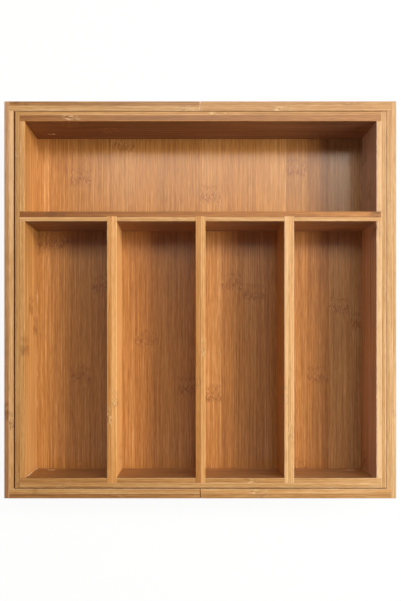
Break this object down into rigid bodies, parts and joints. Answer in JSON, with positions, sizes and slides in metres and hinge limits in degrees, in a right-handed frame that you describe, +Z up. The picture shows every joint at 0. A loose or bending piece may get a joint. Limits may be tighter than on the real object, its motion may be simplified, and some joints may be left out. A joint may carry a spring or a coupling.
{
  "type": "cutlery tray",
  "caption": "Square bamboo cutlery tray with a wide rear bay and long front bays, between sliding wings that pull out to widen it in a drawer.",
  "frame": {"origin": "middle of the closed tray's outline, on the drawer floor", "axes": "+X to the tray's right, along the wings' slide; +Y to its back, where the wide bay is; +Z up"},
  "size_m": [0.4, 0.4052, 0.064],
  "materials": {
    "center_boards": "two-ply carbonized bamboo board, satin lacquer",
    "wing_boards": "two-ply carbonized bamboo board, satin lacquer",
    "floor_panels": "flat-pressed bamboo strip panel, satin lacquer",
    "stop_pins": "turned bamboo, bare"
  },
  "bodies": {
    "center_tray": {"center_floor": "floor_panels", "center_back_wall": "center_boards", "center_front_wall": "center_boards", "center_left_wall": "center_boards", "center_right_wall": "center_boards", "cross_divider": "center_boards", "divider_left": "center_boards", "divider_middle": "center_boards", "divider_right": "center_boards"},
    "left_wing": {"left_wing_side_wall": "wing_boards", "left_wing_back_rail": "wing_boards", "left_wing_front_rail": "wing_boards", "left_wing_floor": "floor_panels", "left_back_stop_pin": "stop_pins", "left_front_stop_pin": "stop_pins"},
    "right_wing": {"right_wing_side_wall": "wing_boards", "right_wing_back_rail": "wing_boards", "right_wing_front_rail": "wing_boards", "right_wing_floor": "floor_panels", "right_back_stop_pin": "stop_pins", "right_front_stop_pin": "stop_pins"}
  },
  "joints": [
    {"name": "left_wing_slide", "type": "slide", "parent": "center_tray", "child": "left_wing", "axis": [-1, 0, 0], "range_m": [0, 0.104]},
    {"name": "right_wing_slide", "type": "slide", "parent": "center_tray", "child": "right_wing", "axis": [1, 0, 0], "range_m": [0, 0.105]}
  ]
}
